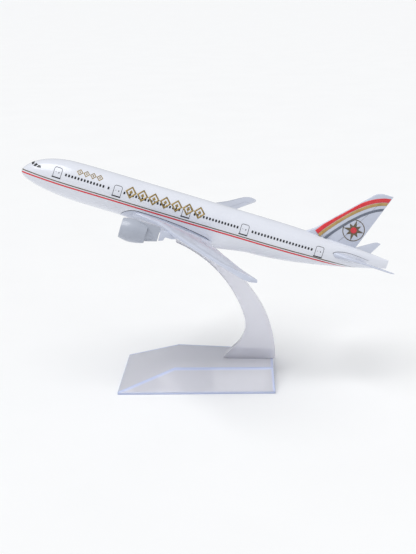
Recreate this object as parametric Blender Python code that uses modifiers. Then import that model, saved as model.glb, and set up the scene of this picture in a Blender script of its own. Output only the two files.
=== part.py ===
"""Desktop twin-engine airliner model, about 1:400, held nose-up on a two-piece clear stand.

Metres, +Z up. The origin lies on the desk, under the middle of the whole model. The nose points
to -X and the left wing to -Y. The airliner is drawn level in its own frame, whose X runs aft from
the nose, Y to the right wing and Z up from the axis of the cabin, and an empty tilts it nose-up.
"""
import math

import bmesh
import bpy
from mathutils import Matrix, Vector

MM = 0.001
GAP = 0.3 * MM                      # clearance between neighbouring pieces

# --- driving dimensions -------------------------------------------------------------------------
PITCH = math.radians(17.7)          # nose-up attitude on the stand
STAND_X = -5.396 * MM               # middle of the base, from the middle of the whole model
NOSE_FROM_STAND = Vector((-72.17, 0.0, 93.58)) * MM

FUSELAGE_RADIUS = 8.2 * MM
FUSELAGE_LENGTH = 160.0 * MM
FUSELAGE_WALL = 1.6 * MM
NOSE_DROP = -2.2 * MM               # height of the nose tip
NOSE_CROWN_LENGTH = 22.0 * MM
NOSE_KEEL_LENGTH = 30.0 * MM
TAIL_START = 104.0 * MM
TAIL_CROWN_DROP = 2.5 * MM
TAIL_KEEL_RISE = 10.2 * MM
TAIL_BLADE_HALF_WIDTH = 0.45 * MM
BELLY_DEPTH = 2.1 * MM              # how far the wing fairing bulges below the round section
BELLY_STATIONS = (44.8 * MM, 62.0 * MM, 82.0 * MM, 104.0 * MM)
CAVITY_STATIONS = (9.0 * MM, 132.0 * MM)
RING_POINTS = 24

# Parting line between the fuselage and the wing casting: station and height, millimetres.
CRADLE_FRONT = ((44.4, -9.0), (45.6, -6.1), (48.6, -3.9), (52.8, -3.0))
CRADLE_REAR = ((61.8, -3.0), (70.7, -3.7), (79.8, -5.0), (84.2, -6.2), (85.6, -6.9), (86.8, -9.0))

WING_ROOT_Y = 7.75 * MM
WING_KINK_Y = 27.9 * MM
WING_ROOT_LE = 57.1 * MM
WING_LE_SLOPE = 0.605               # aft travel of the leading edge for each unit of span
WING_ROOT_FLARE = (6.7 * MM, 9.3 * MM)      # how far the root runs forward, and over what span
WING_ROOT_TE = 85.1 * MM
WING_TE_SLOPE = 0.371
WING_TIP_ROUNDING_Y = 72.5 * MM
WING_TIP_SWELL = (58.0 * MM, 0.5 * MM)      # where the tip begins to thicken, and by how much a side
# Span, and heights of the leading and the trailing edge there, millimetres.
WING_SECTIONS = ((0.0, -4.7, -7.2), (8.2, -4.65, -7.1), (10.5, -4.5, -6.3), (13.0, -4.35, -5.5),
                 (18.0, -4.15, -4.6), (30.0, -3.6, -3.35), (45.0, -2.8, -2.3), (60.0, -1.8, -1.35),
                 (72.5, -0.45, -0.4), (75.2, -0.2, -0.2), (76.4, -0.1, -0.1))

FIN_ROOT = (121.5 * MM, 144.4 * MM, 5.8 * MM)    # leading edge, trailing edge and height
FIN_TIP = (146.8 * MM, 153.2 * MM, 32.4 * MM)
STABILISER_ROOT = (137.6 * MM, 149.6 * MM, 1.4 * MM)   # leading edge, trailing edge and side
STABILISER_TIP = (156.7 * MM, 159.1 * MM, 26.5 * MM)
STABILISER_HEIGHTS = (1.9 * MM, 6.45 * MM)

ENGINE_Y = 24.0 * MM
ENGINE_Z = -7.7 * MM
ENGINE_FRONT = 47.8 * MM
ENGINE_REAR = 58.4 * MM
COWL_RADII = (4.1 * MM, 4.78 * MM, 3.63 * MM)    # inlet lip, widest part and nozzle lip
COWL_WALL = 0.7 * MM
FAN_STATION = 50.4 * MM
CONE_TIP = 62.4 * MM
PYLON_THICKNESS = 1.6 * MM
PYLON_OUTLINE = ((51.6, -2.9), (63.4, -2.9), (63.4, -9.0), (58.8, -10.3), (58.8, -6.0),
                 (51.6, -6.0))      # station and height, millimetres
# The stub under the wing behind it, to which the engine is glued, is cast with the wing.
STUB_OUTLINE = ((63.8, -4.2), (63.8, -8.5), (65.8, -7.9), (66.3, -6.4), (69.2, -6.3), (71.5, -5.2),
                (71.5, -4.2))

SCREWS = (("front", 63.0 * MM, -3.3 * MM), ("rear", 80.9 * MM, 3.4 * MM))   # station and side
SCREW_SHANK_RADIUS = 0.8 * MM
SCREW_HEAD_RADIUS = 1.5 * MM
SCREW_HEAD_HEIGHT = 1.0 * MM
SCREW_LENGTH = 9.0 * MM
BOSS_RADIUS = 2.0 * MM
BOSS_HEIGHTS = (-4.0 * MM, 6.4 * MM)        # bottom and top of the screw boss in a fuselage half
PILOT_HEIGHTS = (-6.0 * MM, 1.5 * MM)       # the hole in it
HEAD_DEPTH = 0.3 * MM                       # how deep the screw heads lie in the belly

TONGUE_STATIONS = (72.5 * MM, 79.5 * MM)    # tongue of the stand, along the belly
TONGUE_DEPTH = 3.7 * MM
ARM_THICKNESS = 3.2 * MM
BELLY_BOTTOM = -(FUSELAGE_RADIUS + BELLY_DEPTH)

BASE_HALF_LENGTH = 33.1 * MM
BASE_HALF_WIDTH = 25.0 * MM
BASE_LIP = 1.0 * MM
# The deck slopes down and narrows to the rear: place, half width and height of its two ends.
BASE_RIDGE = (-9.5 * MM, 16.4 * MM, 8.6 * MM)
BASE_REAR = (32.4 * MM, 13.0 * MM, 7.3 * MM)
BASE_WALL = 2.0 * MM
BASE_RIM = 4.0 * MM
ARM_TAB = (12.5 * MM, 30.0 * MM, 3.0 * MM)  # ends and foot of the tab that sinks into the base
POCKET_WALL = 1.3 * MM

BEYOND_SIDES = 12.0 * MM            # farther out than the fuselage, for tools that cut through it
BEYOND_BELLY = -20.0 * MM


# --- scene, collections and materials -----------------------------------------------------------
def new_collection(name):
    collection = bpy.data.collections.new(name)
    bpy.context.scene.collection.children.link(collection)
    return collection


for old in list(bpy.data.objects):
    bpy.data.objects.remove(old, do_unlink=True)
PARTS = new_collection("desktop_airliner_model")
CUTTERS = new_collection("cutters")


def principled(name, colour, roughness, metallic=0.0, transmission=0.0):
    material = bpy.data.materials.new(name)
    material.use_nodes = True
    shader = material.node_tree.nodes["Principled BSDF"]
    shader.inputs["Base Color"].default_value = (*colour, 1.0)
    shader.inputs["Roughness"].default_value = roughness
    shader.inputs["Metallic"].default_value = metallic
    shader.inputs["Transmission Weight"].default_value = transmission
    return material


def gloss_white_paint(name):
    return principled(name + "_paint", (0.84, 0.86, 0.90), 0.18)


def wing_grey_paint(name):
    return principled(name + "_paint", (0.62, 0.66, 0.74), 0.25)


def engine_grey_paint(name):
    return principled(name + "_paint", (0.42, 0.46, 0.53), 0.3, 0.2)


def clear_plastic(name):
    return principled(name + "_plastic", (0.82, 0.83, 0.88), 0.05, 0.0, 0.9)


def steel(name):
    return principled(name + "_steel", (0.5, 0.5, 0.52), 0.35, 1.0)


# --- helpers ------------------------------------------------------------------------------------
def add_part(name, bm, finish, parent):
    """Make a named, shaded sub-part from a bmesh and hang it on its parent."""
    part = add_object(name, bm, PARTS, parent)
    part.data.materials.append(finish(name))
    return part


def add_cutter(name, bm, parent):
    """Make a tool body for a Boolean: drawn as wire and left out of the model."""
    cutter = add_object(name, bm, CUTTERS, parent)
    cutter.hide_render = True
    cutter.display_type = "WIRE"
    return cutter


def add_object(name, bm, collection, parent):
    bmesh.ops.recalc_face_normals(bm, faces=bm.faces)
    mesh = bpy.data.meshes.new(name)
    bm.to_mesh(mesh)
    bm.free()
    mesh.shade_smooth()
    mesh.set_sharp_from_angle(angle=math.radians(35.0))
    thing = bpy.data.objects.new(name, mesh)
    collection.objects.link(thing)
    thing.parent = parent
    return thing


def combine(part, tool, operation):
    modifier = part.modifiers.new(operation.lower() + "_" + tool.name, "BOOLEAN")
    modifier.operation = operation
    modifier.object = tool
    modifier.solver = "EXACT"


def box(low, high):
    """A block between two opposite corners."""
    bm = bmesh.new()
    size = Vector(high) - Vector(low)
    middle = (Vector(high) + Vector(low)) / 2
    bmesh.ops.create_cube(bm, size=1.0, matrix=Matrix.Translation(middle) @ Matrix.Diagonal((*size, 1.0)))
    return bm


def plate(outline, low, high):
    """An upright plate with an outline of (x, z) pairs and its thickness across, from low to high."""
    bm = bmesh.new()
    face = bm.faces.new([bm.verts.new((x, low, z)) for x, z in outline])
    step = Vector((0.0, high - low, 0.0))
    moved = bmesh.ops.extrude_face_region(bm, geom=[face])["geom"]
    bmesh.ops.translate(bm, vec=step, verts=[v for v in moved if isinstance(v, bmesh.types.BMVert)])
    return bm


def loft(rings, open_start=False):
    """Skin a row of closed rings, which all have as many points, with triangles and cap the ends."""
    bm = bmesh.new()
    rows = [[bm.verts.new(point) for point in ring] for ring in rings]
    count = len(rows[0])
    for first, second in zip(rows, rows[1:]):
        for i in range(count):
            j = (i + 1) % count
            bm.faces.new((first[i], first[j], second[j], second[i]))
    if not open_start:
        bm.faces.new(rows[0])
    bm.faces.new(rows[-1])
    bmesh.ops.triangulate(bm, faces=bm.faces)
    return bm


def turned(name, profile, collection, parent, place, steps, aft=True):
    """Turn a closed profile of (radius, height) pairs; aft lays the axis along the airliner."""
    bm = bmesh.new()
    corners = [bm.verts.new((radius, 0.0, height)) for radius, height in profile]
    for first, second in zip(corners, corners[1:] + corners[:1]):
        if first.co.x > 0.0 or second.co.x > 0.0:
            bm.edges.new((first, second))
    thing = add_object(name, bm, collection, parent)
    thing.location = place
    if aft:
        thing.rotation_euler = (0.0, math.pi / 2, 0.0)
    screw = thing.modifiers.new("turn", "SCREW")
    screw.steps = steps
    screw.render_steps = steps
    screw.use_merge_vertices = True
    screw.merge_threshold = 0.00001
    return thing


def smooth_step(value, start, end):
    t = min(max((value - start) / (end - start), 0.0), 1.0)
    return t * t * (3.0 - 2.0 * t)


# --- fuselage outline ---------------------------------------------------------------------------
def belly_bulge(s):
    """Share of the wing fairing that shows at a station: 0 on the plain tube, 1 at the wing."""
    start, full, fade, end = BELLY_STATIONS
    return smooth_step(s, start, full) - smooth_step(s, fade, end)


def nose_curve(s, length, power):
    t = min(s / length, 1.0)
    return (1.0 - (1.0 - t) ** 2) ** power


def tail_share(s):
    return max((s - TAIL_START) / (FUSELAGE_LENGTH - TAIL_START), 0.0)


def crown_height(s):
    rise = (FUSELAGE_RADIUS - NOSE_DROP) * nose_curve(s, NOSE_CROWN_LENGTH, 0.62)
    return NOSE_DROP + rise - TAIL_CROWN_DROP * tail_share(s) ** 2


def keel_height(s):
    fall = (FUSELAGE_RADIUS + NOSE_DROP) * nose_curve(s, NOSE_KEEL_LENGTH, 0.55)
    return NOSE_DROP - fall - BELLY_DEPTH * belly_bulge(s) + TAIL_KEEL_RISE * tail_share(s) ** 1.5


def half_width(s):
    nose = FUSELAGE_RADIUS * nose_curve(s, NOSE_CROWN_LENGTH, 0.55)
    shrink = (FUSELAGE_RADIUS - TAIL_BLADE_HALF_WIDTH) * tail_share(s) ** 1.7
    return nose - shrink


def waist_height(s):
    """Height of the widest point: at the tip in the nose, midway between crown and keel aft."""
    nose = NOSE_DROP * (1.0 - min(s / NOSE_CROWN_LENGTH, 1.0)) ** 2
    tail = (TAIL_KEEL_RISE * tail_share(s) ** 1.5 - TAIL_CROWN_DROP * tail_share(s) ** 2) / 2
    return nose + tail


def fuselage_ring(s, inset=0.0):
    """Closed section of the fuselage: an ellipse above, and a squarer curve under the wing."""
    waist = waist_height(s)
    squareness = 2.0 / (2.0 + 1.3 * belly_bulge(s))
    points = []
    for i in range(RING_POINTS):
        angle = 2.0 * math.pi * (i + 0.5) / RING_POINTS
        across, up = math.cos(angle), math.sin(angle)
        if up > 0.0:
            y = across * (half_width(s) - inset)
            z = waist + up * (crown_height(s) - inset - waist)
        else:
            y = math.copysign(abs(across) ** squareness, across) * (half_width(s) - inset)
            z = waist - abs(up) ** squareness * (waist - keel_height(s) - inset)
        points.append((s, y, z))
    return points


def stations(start, end, count):
    """Stations that crowd towards both ends of the fuselage."""
    return [start + (end - start) * (1.0 - math.cos(math.pi * i / (count - 1))) / 2
            for i in range(count)]


def fuselage_body(inset=0.0):
    if inset:
        return loft([fuselage_ring(s, inset) for s in stations(*CAVITY_STATIONS, 15)])
    return loft([fuselage_ring(s) for s in stations(0.15 * MM, FUSELAGE_LENGTH, 27)])


def cradle_outline(growth):
    """Side view of the space that the wing casting fills, open below."""
    line = [(s * MM - growth, z * MM + growth) for s, z in CRADLE_FRONT]
    line += [(s * MM + growth, z * MM + growth) for s, z in CRADLE_REAR]
    return line + [(line[-1][0], BEYOND_BELLY), (line[0][0], BEYOND_BELLY)]


# --- flying surfaces ----------------------------------------------------------------------------
CHORD_SHARES = (0.0, 0.03, 0.12, 0.32, 0.6, 0.85, 1.0)
EDGE_HALF_THICKNESS = 0.14 * MM     # leading and trailing edges are cast blunt
NOSE_EXTRA = 0.22 * MM              # and a wing's leading edge blunter still


def airfoil(leading, trailing, thickness, edge, nose=0.0, heights=(0.0, 0.0)):
    """Section as (along, up) pairs, from the leading edge over the top and back below. It is
    symmetric about a straight chord between the heights of its ends, and the half thickness of its
    blunt edges is added all along, with the extra of the nose fading out aft."""
    upper, lower = [], []
    for t in CHORD_SHARES:
        bulge = 2.97 * math.sqrt(t) - 1.26 * t - 3.516 * t ** 2 + 2.843 * t ** 3 - 1.015 * t ** 4
        half = thickness / 2 * bulge + edge + nose * (1.0 - t)
        middle = heights[0] + t * (heights[1] - heights[0])
        along = leading + t * (trailing - leading)
        upper.append((along, middle + half))
        lower.append((along, middle - half))
    return upper + lower[::-1]


def wing_half(growth=0.0):
    """Right wing from the centre line to the tip, left open at the centre for the mirror."""
    rings = []
    tip = WING_SECTIONS[-1][0] * MM
    flare, reach = WING_ROOT_FLARE
    swell_start, swell = WING_TIP_SWELL
    for y, *heights in ([value * MM for value in section] for section in WING_SECTIONS):
        outboard = max(y - WING_ROOT_Y, 0.0)
        leading = WING_ROOT_LE + WING_LE_SLOPE * outboard - flare * max(1.0 - outboard / reach, 0.0) ** 2
        trailing = WING_ROOT_TE + WING_TE_SLOPE * max(y - WING_KINK_Y, 0.0)
        rounding = max((y - WING_TIP_ROUNDING_Y) / (tip - WING_TIP_ROUNDING_Y), 0.0) ** 2
        leading += rounding * 0.45 * (trailing - leading)
        thickness = 0.085 * (trailing - leading) + 0.2 * MM
        edge = EDGE_HALF_THICKNESS + growth + swell * smooth_step(y, swell_start, tip)
        section = airfoil(leading - growth, trailing + growth, thickness, edge, NOSE_EXTRA, heights)
        rings.append([(along, y, up) for along, up in section])
    return loft(rings, open_start=True)


def mirror_across_centre(thing):
    mirror = thing.modifiers.new("mirror", "MIRROR")
    mirror.use_axis = (False, True, False)
    mirror.merge_threshold = 0.00001


def surface_between(root, tip, heights, growth=0.0):
    """Tail surface between a root chord and a tip chord; heights places the chords upright."""
    rings = []
    for share in (0.0, 0.94, 1.0):
        leading = root[0] + (tip[0] - root[0]) * share
        trailing = root[1] + (tip[1] - root[1]) * share
        if share == 1.0:
            leading += 0.3 * (trailing - leading)
        side = root[2] + (tip[2] - root[2]) * share
        thickness = 0.075 * (trailing - leading) + 0.25 * MM
        section = airfoil(leading - growth, trailing + growth, thickness, EDGE_HALF_THICKNESS + growth)
        if heights is None:
            rings.append([(along, across, side) for along, across in section])
        else:
            height = heights[0] + (heights[1] - heights[0]) * share
            rings.append([(along, side, height + up) for along, up in section])
    return loft(rings)


def mirrored(bm):
    bmesh.ops.scale(bm, vec=(1.0, -1.0, 1.0), verts=bm.verts)
    return bm


# --- frames -------------------------------------------------------------------------------------
def new_empty(name, place, parent=None, pitch=0.0):
    empty = bpy.data.objects.new(name, None)
    PARTS.objects.link(empty)
    empty.location = place
    empty.rotation_euler = (0.0, pitch, 0.0)
    empty.parent = parent
    return empty


STAND = new_empty("stand_datum", (STAND_X, 0.0, 0.0))
SEAT_IN_AIRLINER = Vector((sum(TONGUE_STATIONS) / 2, 0.0, BELLY_BOTTOM))
SEAT_PLACE = NOSE_FROM_STAND + Matrix.Rotation(PITCH, 3, "Y") @ SEAT_IN_AIRLINER
SEAT = new_empty("airliner_lift_axis", SEAT_PLACE, STAND, PITCH)
AIRLINER = new_empty("airliner_datum", -SEAT_IN_AIRLINER, SEAT)


# --- fuselage halves, each with the boss for one belly screw ------------------------------------
def screw_post(name, station, side, radius, bottom, top):
    bm = bmesh.new()
    middle = Matrix.Translation((station, side, (bottom + top) / 2))
    bmesh.ops.create_cone(bm, cap_ends=True, segments=16, radius1=radius, radius2=radius,
                          depth=top - bottom, matrix=middle)
    return add_cutter(name, bm, AIRLINER)


def build_fuselage():
    cavity = add_cutter("cut_cabin_cavity", fuselage_body(FUSELAGE_WALL), AIRLINER)
    tray = add_cutter("cut_wing_cradle", plate(cradle_outline(GAP), -BEYOND_SIDES, BEYOND_SIDES), AIRLINER)
    fin_slot = add_cutter("cut_fin_slot", surface_between(FIN_ROOT, FIN_TIP, None, GAP), AIRLINER)
    for name, side, (screw, station, offset) in (("left", -1.0, SCREWS[0]), ("right", 1.0, SCREWS[1])):
        half = add_part("fuselage_" + name + "_half", fuselage_body(), gloss_white_paint, AIRLINER)
        low, high = sorted((side * GAP / 2, side * BEYOND_SIDES))
        keep = box((-BEYOND_SIDES, low, BEYOND_BELLY), (FUSELAGE_LENGTH + BEYOND_SIDES, high, BEYOND_SIDES))
        combine(half, add_cutter("keep_" + name + "_side", keep, AIRLINER), "INTERSECT")
        combine(half, cavity, "DIFFERENCE")
        boss = screw_post("join_boss_" + screw, station, offset, BOSS_RADIUS, *BOSS_HEIGHTS)
        combine(half, boss, "UNION")
        combine(half, tray, "DIFFERENCE")
        hole = screw_post("cut_pilot_" + screw, station, offset, SCREW_SHANK_RADIUS + GAP, *PILOT_HEIGHTS)
        combine(half, hole, "DIFFERENCE")
        combine(half, fin_slot, "DIFFERENCE")
        slot = surface_between(STABILISER_ROOT, STABILISER_TIP, STABILISER_HEIGHTS, GAP)
        if side < 0.0:
            slot = mirrored(slot)
        combine(half, add_cutter("cut_stabiliser_slot_" + name, slot, AIRLINER), "DIFFERENCE")


def build_tail():
    add_part("tail_fin", surface_between(FIN_ROOT, FIN_TIP, None), wing_grey_paint, AIRLINER)
    surface = surface_between(STABILISER_ROOT, STABILISER_TIP, STABILISER_HEIGHTS)
    add_part("stabiliser_right", surface, wing_grey_paint, AIRLINER)
    surface = surface_between(STABILISER_ROOT, STABILISER_TIP, STABILISER_HEIGHTS)
    add_part("stabiliser_left", mirrored(surface), wing_grey_paint, AIRLINER)


# --- wing casting: both wings, the belly fairing, the engine stubs and the stand socket -----------
def build_wing_casting():
    casting = add_part("wing_casting", fuselage_body(), wing_grey_paint, AIRLINER)
    tray = plate(cradle_outline(0.0), -BEYOND_SIDES, BEYOND_SIDES)
    combine(casting, add_cutter("keep_wing_cradle", tray, AIRLINER), "INTERSECT")
    wings = add_cutter("join_wings", wing_half(), AIRLINER)
    mirror_across_centre(wings)
    combine(casting, wings, "UNION")
    for side, sign in (("left", -1.0), ("right", 1.0)):
        stub = plate([(s * MM, z * MM) for s, z in STUB_OUTLINE], sign * ENGINE_Y - PYLON_THICKNESS / 2,
                     sign * ENGINE_Y + PYLON_THICKNESS / 2)
        combine(casting, add_cutter("join_engine_stub_" + side, stub, AIRLINER), "UNION")
    for screw, station, side in SCREWS:
        hole = screw_post("cut_shank_" + screw, station, side, SCREW_SHANK_RADIUS + GAP,
                          BEYOND_BELLY, 0.0)
        combine(casting, hole, "DIFFERENCE")
        sink = screw_post("cut_head_" + screw, station, side, SCREW_HEAD_RADIUS + GAP,
                          BEYOND_BELLY, HEAD_SEAT + GAP)
        combine(casting, sink, "DIFFERENCE")
    half = ARM_THICKNESS / 2 + GAP
    low = (TONGUE_STATIONS[0] - GAP, -half, BELLY_BOTTOM - 5.0 * MM)
    high = (TONGUE_STATIONS[1] + GAP, half, BELLY_BOTTOM + TONGUE_DEPTH + GAP)
    combine(casting, add_cutter("cut_stand_socket", box(low, high), AIRLINER), "DIFFERENCE")


HEAD_SEAT = BELLY_BOTTOM + HEAD_DEPTH + SCREW_HEAD_HEIGHT     # upper side of a screw's head


def build_belly_screws():
    for screw, station, side in SCREWS:
        tip = HEAD_SEAT + SCREW_LENGTH - SCREW_HEAD_HEIGHT
        foot = HEAD_SEAT - SCREW_HEAD_HEIGHT
        profile = ((0.0, tip), (0.5 * SCREW_SHANK_RADIUS, tip), (SCREW_SHANK_RADIUS, tip - 0.8 * MM),
                   (SCREW_SHANK_RADIUS, HEAD_SEAT), (SCREW_HEAD_RADIUS, HEAD_SEAT),
                   (SCREW_HEAD_RADIUS, foot + 0.3 * MM), (0.7 * SCREW_HEAD_RADIUS, foot), (0.0, foot))
        body = turned("belly_screw_" + screw, profile, PARTS, AIRLINER, (station, side, 0.0), 16, aft=False)
        body.data.materials.append(steel(body.name))
        for number, (along, across) in enumerate(((0.9 * MM, 0.2 * MM), (0.2 * MM, 0.9 * MM))):
            low = (station - along, side - across, foot - MM)
            high = (station + along, side + across, foot + 0.5 * MM)
            recess = add_cutter("cut_recess_%s_%d" % (screw, number), box(low, high), AIRLINER)
            combine(body, recess, "DIFFERENCE")


# --- engines: cowl, fan, core with its tail cone, and pylon --------------------------------------
def cowl_radius(share):
    """Outer radius of the cowl, a barrel that is widest a third of the way aft."""
    inlet, widest, nozzle = COWL_RADII
    if share < 0.4:
        return inlet + (widest - inlet) * math.sin(math.pi / 2 * share / 0.4)
    return nozzle + (widest - nozzle) * math.cos(math.pi / 2 * (share - 0.4) / 0.6)


def cowl_outline(growth):
    """Outer side of the cowl as (radius, station) pairs, from the nozzle forward to the inlet."""
    length = ENGINE_REAR - ENGINE_FRONT
    shares = (1.0, 0.85, 0.7, 0.55, 0.4, 0.25, 0.12, 0.04, 0.0)
    trims = (0.0,) * 7 + (0.0, 0.25 * MM)
    return [(cowl_radius(share) - trim + growth, share * length) for share, trim in zip(shares, trims)]


def build_engine(side, sign):
    place = (ENGINE_FRONT, sign * ENGINE_Y, ENGINE_Z)
    length = ENGINE_REAR - ENGINE_FRONT
    outer = cowl_outline(0.0)
    inner = [(radius - COWL_WALL, along) for radius, along in reversed(outer)]
    inner[0] = (outer[-1][0] - 0.3 * MM, 0.0)
    cowl = turned("engine_cowl_" + side, outer + inner, PARTS, AIRLINER, place, 24)
    cowl.data.materials.append(engine_grey_paint(cowl.name))

    fan_at = FAN_STATION - ENGINE_FRONT
    fan_radius = cowl_radius(fan_at / length) - COWL_WALL - GAP
    profile = ((0.0, fan_at + 0.7 * MM), (fan_radius, fan_at + 0.7 * MM), (fan_radius, fan_at),
               (1.1 * MM, fan_at), (0.8 * MM, fan_at - 0.8 * MM), (0.0, fan_at - 1.3 * MM))
    fan = turned("engine_fan_" + side, profile, PARTS, AIRLINER, place, 20)
    fan.data.materials.append(steel(fan.name))

    tip = CONE_TIP - ENGINE_FRONT
    profile = ((0.0, tip), (0.55 * MM, tip - 0.1 * MM), (0.85 * MM, tip - 0.5 * MM),
               (2.5 * MM, length), (2.7 * MM, length - 4.0 * MM), (2.4 * MM, fan_at + 1.2 * MM),
               (0.0, fan_at + 1.2 * MM))
    core = turned("engine_core_" + side, profile, PARTS, AIRLINER, place, 20)
    core.data.materials.append(engine_grey_paint(core.name))

    half = PYLON_THICKNESS / 2
    outline = [(station * MM, height * MM) for station, height in PYLON_OUTLINE]
    pylon = add_part("engine_pylon_" + side, plate(outline, sign * ENGINE_Y - half, sign * ENGINE_Y + half),
                     engine_grey_paint, AIRLINER)
    bore = [(0.0, ENGINE_REAR - ENGINE_FRONT)] + cowl_outline(GAP) + [(0.0, 0.0)]
    room = turned("cut_cowl_" + side, bore, CUTTERS, AIRLINER, place, 24)
    cone_room = [(0.0, tip + GAP), (1.2 * MM, tip + GAP), (2.5 * MM + GAP, length),
                 (2.7 * MM + GAP, length - MM), (0.0, length - MM)]
    cone = turned("cut_cone_" + side, cone_room, CUTTERS, AIRLINER, place, 20)
    for tool in (room, cone):
        tool.hide_render = True
        tool.display_type = "WIRE"
        combine(pylon, tool, "DIFFERENCE")
    combine(pylon, bpy.data.objects["cut_wings"], "DIFFERENCE")


def build_engines():
    wings = add_cutter("cut_wings", wing_half(GAP), AIRLINER)
    mirror_across_centre(wings)
    for side, sign in (("left", -1.0), ("right", 1.0)):
        build_engine(side, sign)


# --- clear stand --------------------------------------------------------------------------------
def arc(centre, radius, start, end, count):
    """Points on a circle in the stand's side view, angles in degrees from +X."""
    points = []
    for i in range(count):
        angle = math.radians(start + (end - start) * i / (count - 1))
        points.append((centre[0] + radius * math.cos(angle), centre[1] + radius * math.sin(angle)))
    return points


def in_stand_view(station, height):
    """A point of the airliner's side view, in the stand's side view."""
    along = station * math.cos(PITCH) + height * math.sin(PITCH)
    up = height * math.cos(PITCH) - station * math.sin(PITCH)
    return (NOSE_FROM_STAND.x + along, NOSE_FROM_STAND.z + up)


def foot_at(x):
    """A point of the arm's foot, just clear of the deck."""
    slope = (BASE_REAR[2] - BASE_RIDGE[2]) / (BASE_REAR[0] - BASE_RIDGE[0])
    return (x, BASE_RIDGE[2] + slope * (x - BASE_RIDGE[0]) + GAP)


def arm_outline():
    """Side view of the arm: a horn that sweeps up from the base and lies along the belly."""
    seat = BELLY_BOTTOM - GAP
    tongue_top = BELLY_BOTTOM + TONGUE_DEPTH
    outline = [in_stand_view(70.4 * MM, seat - 0.5 * MM), in_stand_view(70.9 * MM, seat)]
    outline += [in_stand_view(TONGUE_STATIONS[0], seat), in_stand_view(TONGUE_STATIONS[0], tongue_top),
                in_stand_view(TONGUE_STATIONS[1], tongue_top), in_stand_view(TONGUE_STATIONS[1], seat)]
    outline += [in_stand_view(83.5 * MM, seat)]
    outline += [in_stand_view(84.2 * MM, seat - 0.7 * MM)]
    outline += arc((-45.6 * MM, -4.2 * MM), 81.3 * MM, 48.5, 36.5, 5)
    outline += arc((-15.3 * MM, 9.24 * MM), 48.7 * MM, 36.0, -0.6, 12)
    outline += [foot_at(33.3 * MM), foot_at(ARM_TAB[1]), (ARM_TAB[1], ARM_TAB[2]),
                (ARM_TAB[0], ARM_TAB[2]), foot_at(ARM_TAB[0]), foot_at(10.8 * MM)]
    outline += arc((7.8 * MM, 23.5 * MM), 12.87 * MM, -52.0, 14.0, 8)
    outline += arc((-29.9 * MM, 12.3 * MM), 52.2 * MM, 18.0, 65.5, 15)
    return outline


def build_stand():
    arm = add_part("stand_arm", plate(arm_outline(), -ARM_THICKNESS / 2, ARM_THICKNESS / 2),
                   clear_plastic, STAND)
    joint_x = (ARM_TAB[0] + ARM_TAB[1]) / 2
    arm.data.transform(Matrix.Translation((-joint_x, 0.0, 0.0)))
    arm.location = (joint_x, 0.0, 0.0)

    shell = wedge(0.0)
    base = add_part("stand_base", shell, clear_plastic, STAND)
    combine(base, add_cutter("cut_base_hollow", wedge(BASE_WALL), STAND), "DIFFERENCE")
    slot_half = ARM_THICKNESS / 2 + GAP
    pocket_half = slot_half + POCKET_WALL
    pocket = box((ARM_TAB[0] - GAP - POCKET_WALL, -pocket_half, ARM_TAB[2] - GAP - POCKET_WALL),
                 (ARM_TAB[1] + GAP + POCKET_WALL, pocket_half, BASE_REAR[2] - MM))
    combine(base, add_cutter("join_pocket", pocket, STAND), "UNION")
    slot = box((ARM_TAB[0] - GAP, -slot_half, ARM_TAB[2] - GAP),
               (ARM_TAB[1] + GAP, slot_half, BASE_RIDGE[2] + MM))
    combine(base, add_cutter("cut_arm_slot", slot, STAND), "DIFFERENCE")


def wedge(inset):
    """Outer body of the base, or with an inset the hollow below it: a ramp, a flat top, sides."""
    rim = BASE_RIM if inset else 0.0
    floor = -MM if inset else 0.0
    lip = 0.0 if inset else BASE_LIP
    ridge_x, ridge_half, ridge_top = BASE_RIDGE
    rear_x, rear_half, rear_top = BASE_REAR
    bm = bmesh.new()
    for sign in (-1.0, 1.0):
        for end in (-1.0, 1.0):
            x = end * (BASE_HALF_LENGTH - rim)
            y = sign * (BASE_HALF_WIDTH - rim)
            bm.verts.new((x, y, floor))
            bm.verts.new((x, y, lip))
        bm.verts.new((ridge_x + 0.5 * inset, sign * (ridge_half - 0.9 * inset), ridge_top - inset))
        bm.verts.new((rear_x - inset, sign * (rear_half - 0.9 * inset), rear_top - inset))
    hull = bmesh.ops.convex_hull(bm, input=bm.verts)
    loose = [item for item in hull["geom_interior"] if isinstance(item, bmesh.types.BMVert)]
    bmesh.ops.delete(bm, geom=loose, context="VERTS")
    return bm


build_fuselage()
build_tail()
build_wing_casting()
build_belly_screws()
build_engines()
build_stand()
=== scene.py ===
import math

import bmesh
import bpy
import numpy as np
from mathutils import Matrix, Vector


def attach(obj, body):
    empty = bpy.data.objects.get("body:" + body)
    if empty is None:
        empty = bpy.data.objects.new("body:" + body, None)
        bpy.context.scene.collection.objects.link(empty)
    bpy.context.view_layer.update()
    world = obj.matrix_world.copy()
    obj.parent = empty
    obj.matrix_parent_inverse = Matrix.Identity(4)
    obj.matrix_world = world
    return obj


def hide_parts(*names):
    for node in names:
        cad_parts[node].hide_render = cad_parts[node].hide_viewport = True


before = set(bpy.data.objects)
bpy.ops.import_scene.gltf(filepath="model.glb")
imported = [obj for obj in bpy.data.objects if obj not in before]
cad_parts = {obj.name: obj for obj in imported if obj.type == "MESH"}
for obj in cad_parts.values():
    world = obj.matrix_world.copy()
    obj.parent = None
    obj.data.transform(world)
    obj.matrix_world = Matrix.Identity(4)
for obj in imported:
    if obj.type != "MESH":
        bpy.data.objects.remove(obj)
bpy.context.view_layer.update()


# === Desk, light and camera ======================================================================
# A pale desk that runs out of sight, in a bright plain room, with one broad soft light from above
# the nose and a weak one from the tail side. The eye stands a little to the tail side.
SCENE = bpy.context.scene
MM = 0.001


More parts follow.
